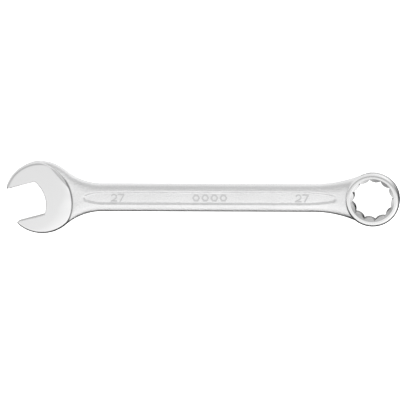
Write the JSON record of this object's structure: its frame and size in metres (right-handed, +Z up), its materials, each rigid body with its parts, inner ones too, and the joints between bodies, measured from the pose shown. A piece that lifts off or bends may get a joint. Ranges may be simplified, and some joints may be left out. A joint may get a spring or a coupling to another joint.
{
  "type": "combination wrench",
  "caption": "Flat forged wrench with an open-jaw end turned fifteen degrees, a tilted twelve-point ring end and a shank with recessed panels, for turning nuts and bolts.",
  "frame": {"origin": "middle of the bounding box at its base, where the wrench lies on a flat surface with the ring tilted upwards", "axes": "+X along the shank towards the ring end, +Y across the wrench in its own plane, +Z up, out of the front face"},
  "size_m": [0.3097, 0.0576, 0.0231],
  "materials": {
    "ground_face_steel": "satin chrome plate over ground faces",
    "blasted_steel": "matt chrome plate over a fine-blasted forging",
    "polished_steel": "satin chrome plate, ring barrelled smooth",
    "raised_mark_steel": "matt chrome plate over raised forged marks"
  },
  "bodies": {
    "root": {"open_end_head": "ground_face_steel", "shank": "blasted_steel", "ring_head": "polished_steel", "size_mark_open_front": "raised_mark_steel", "size_mark_ring_front": "raised_mark_steel", "size_mark_open_back": "raised_mark_steel", "size_mark_ring_back": "raised_mark_steel", "nut_row_front": "raised_mark_steel", "nut_row_back": "raised_mark_steel"}
  },
  "joints": []
}
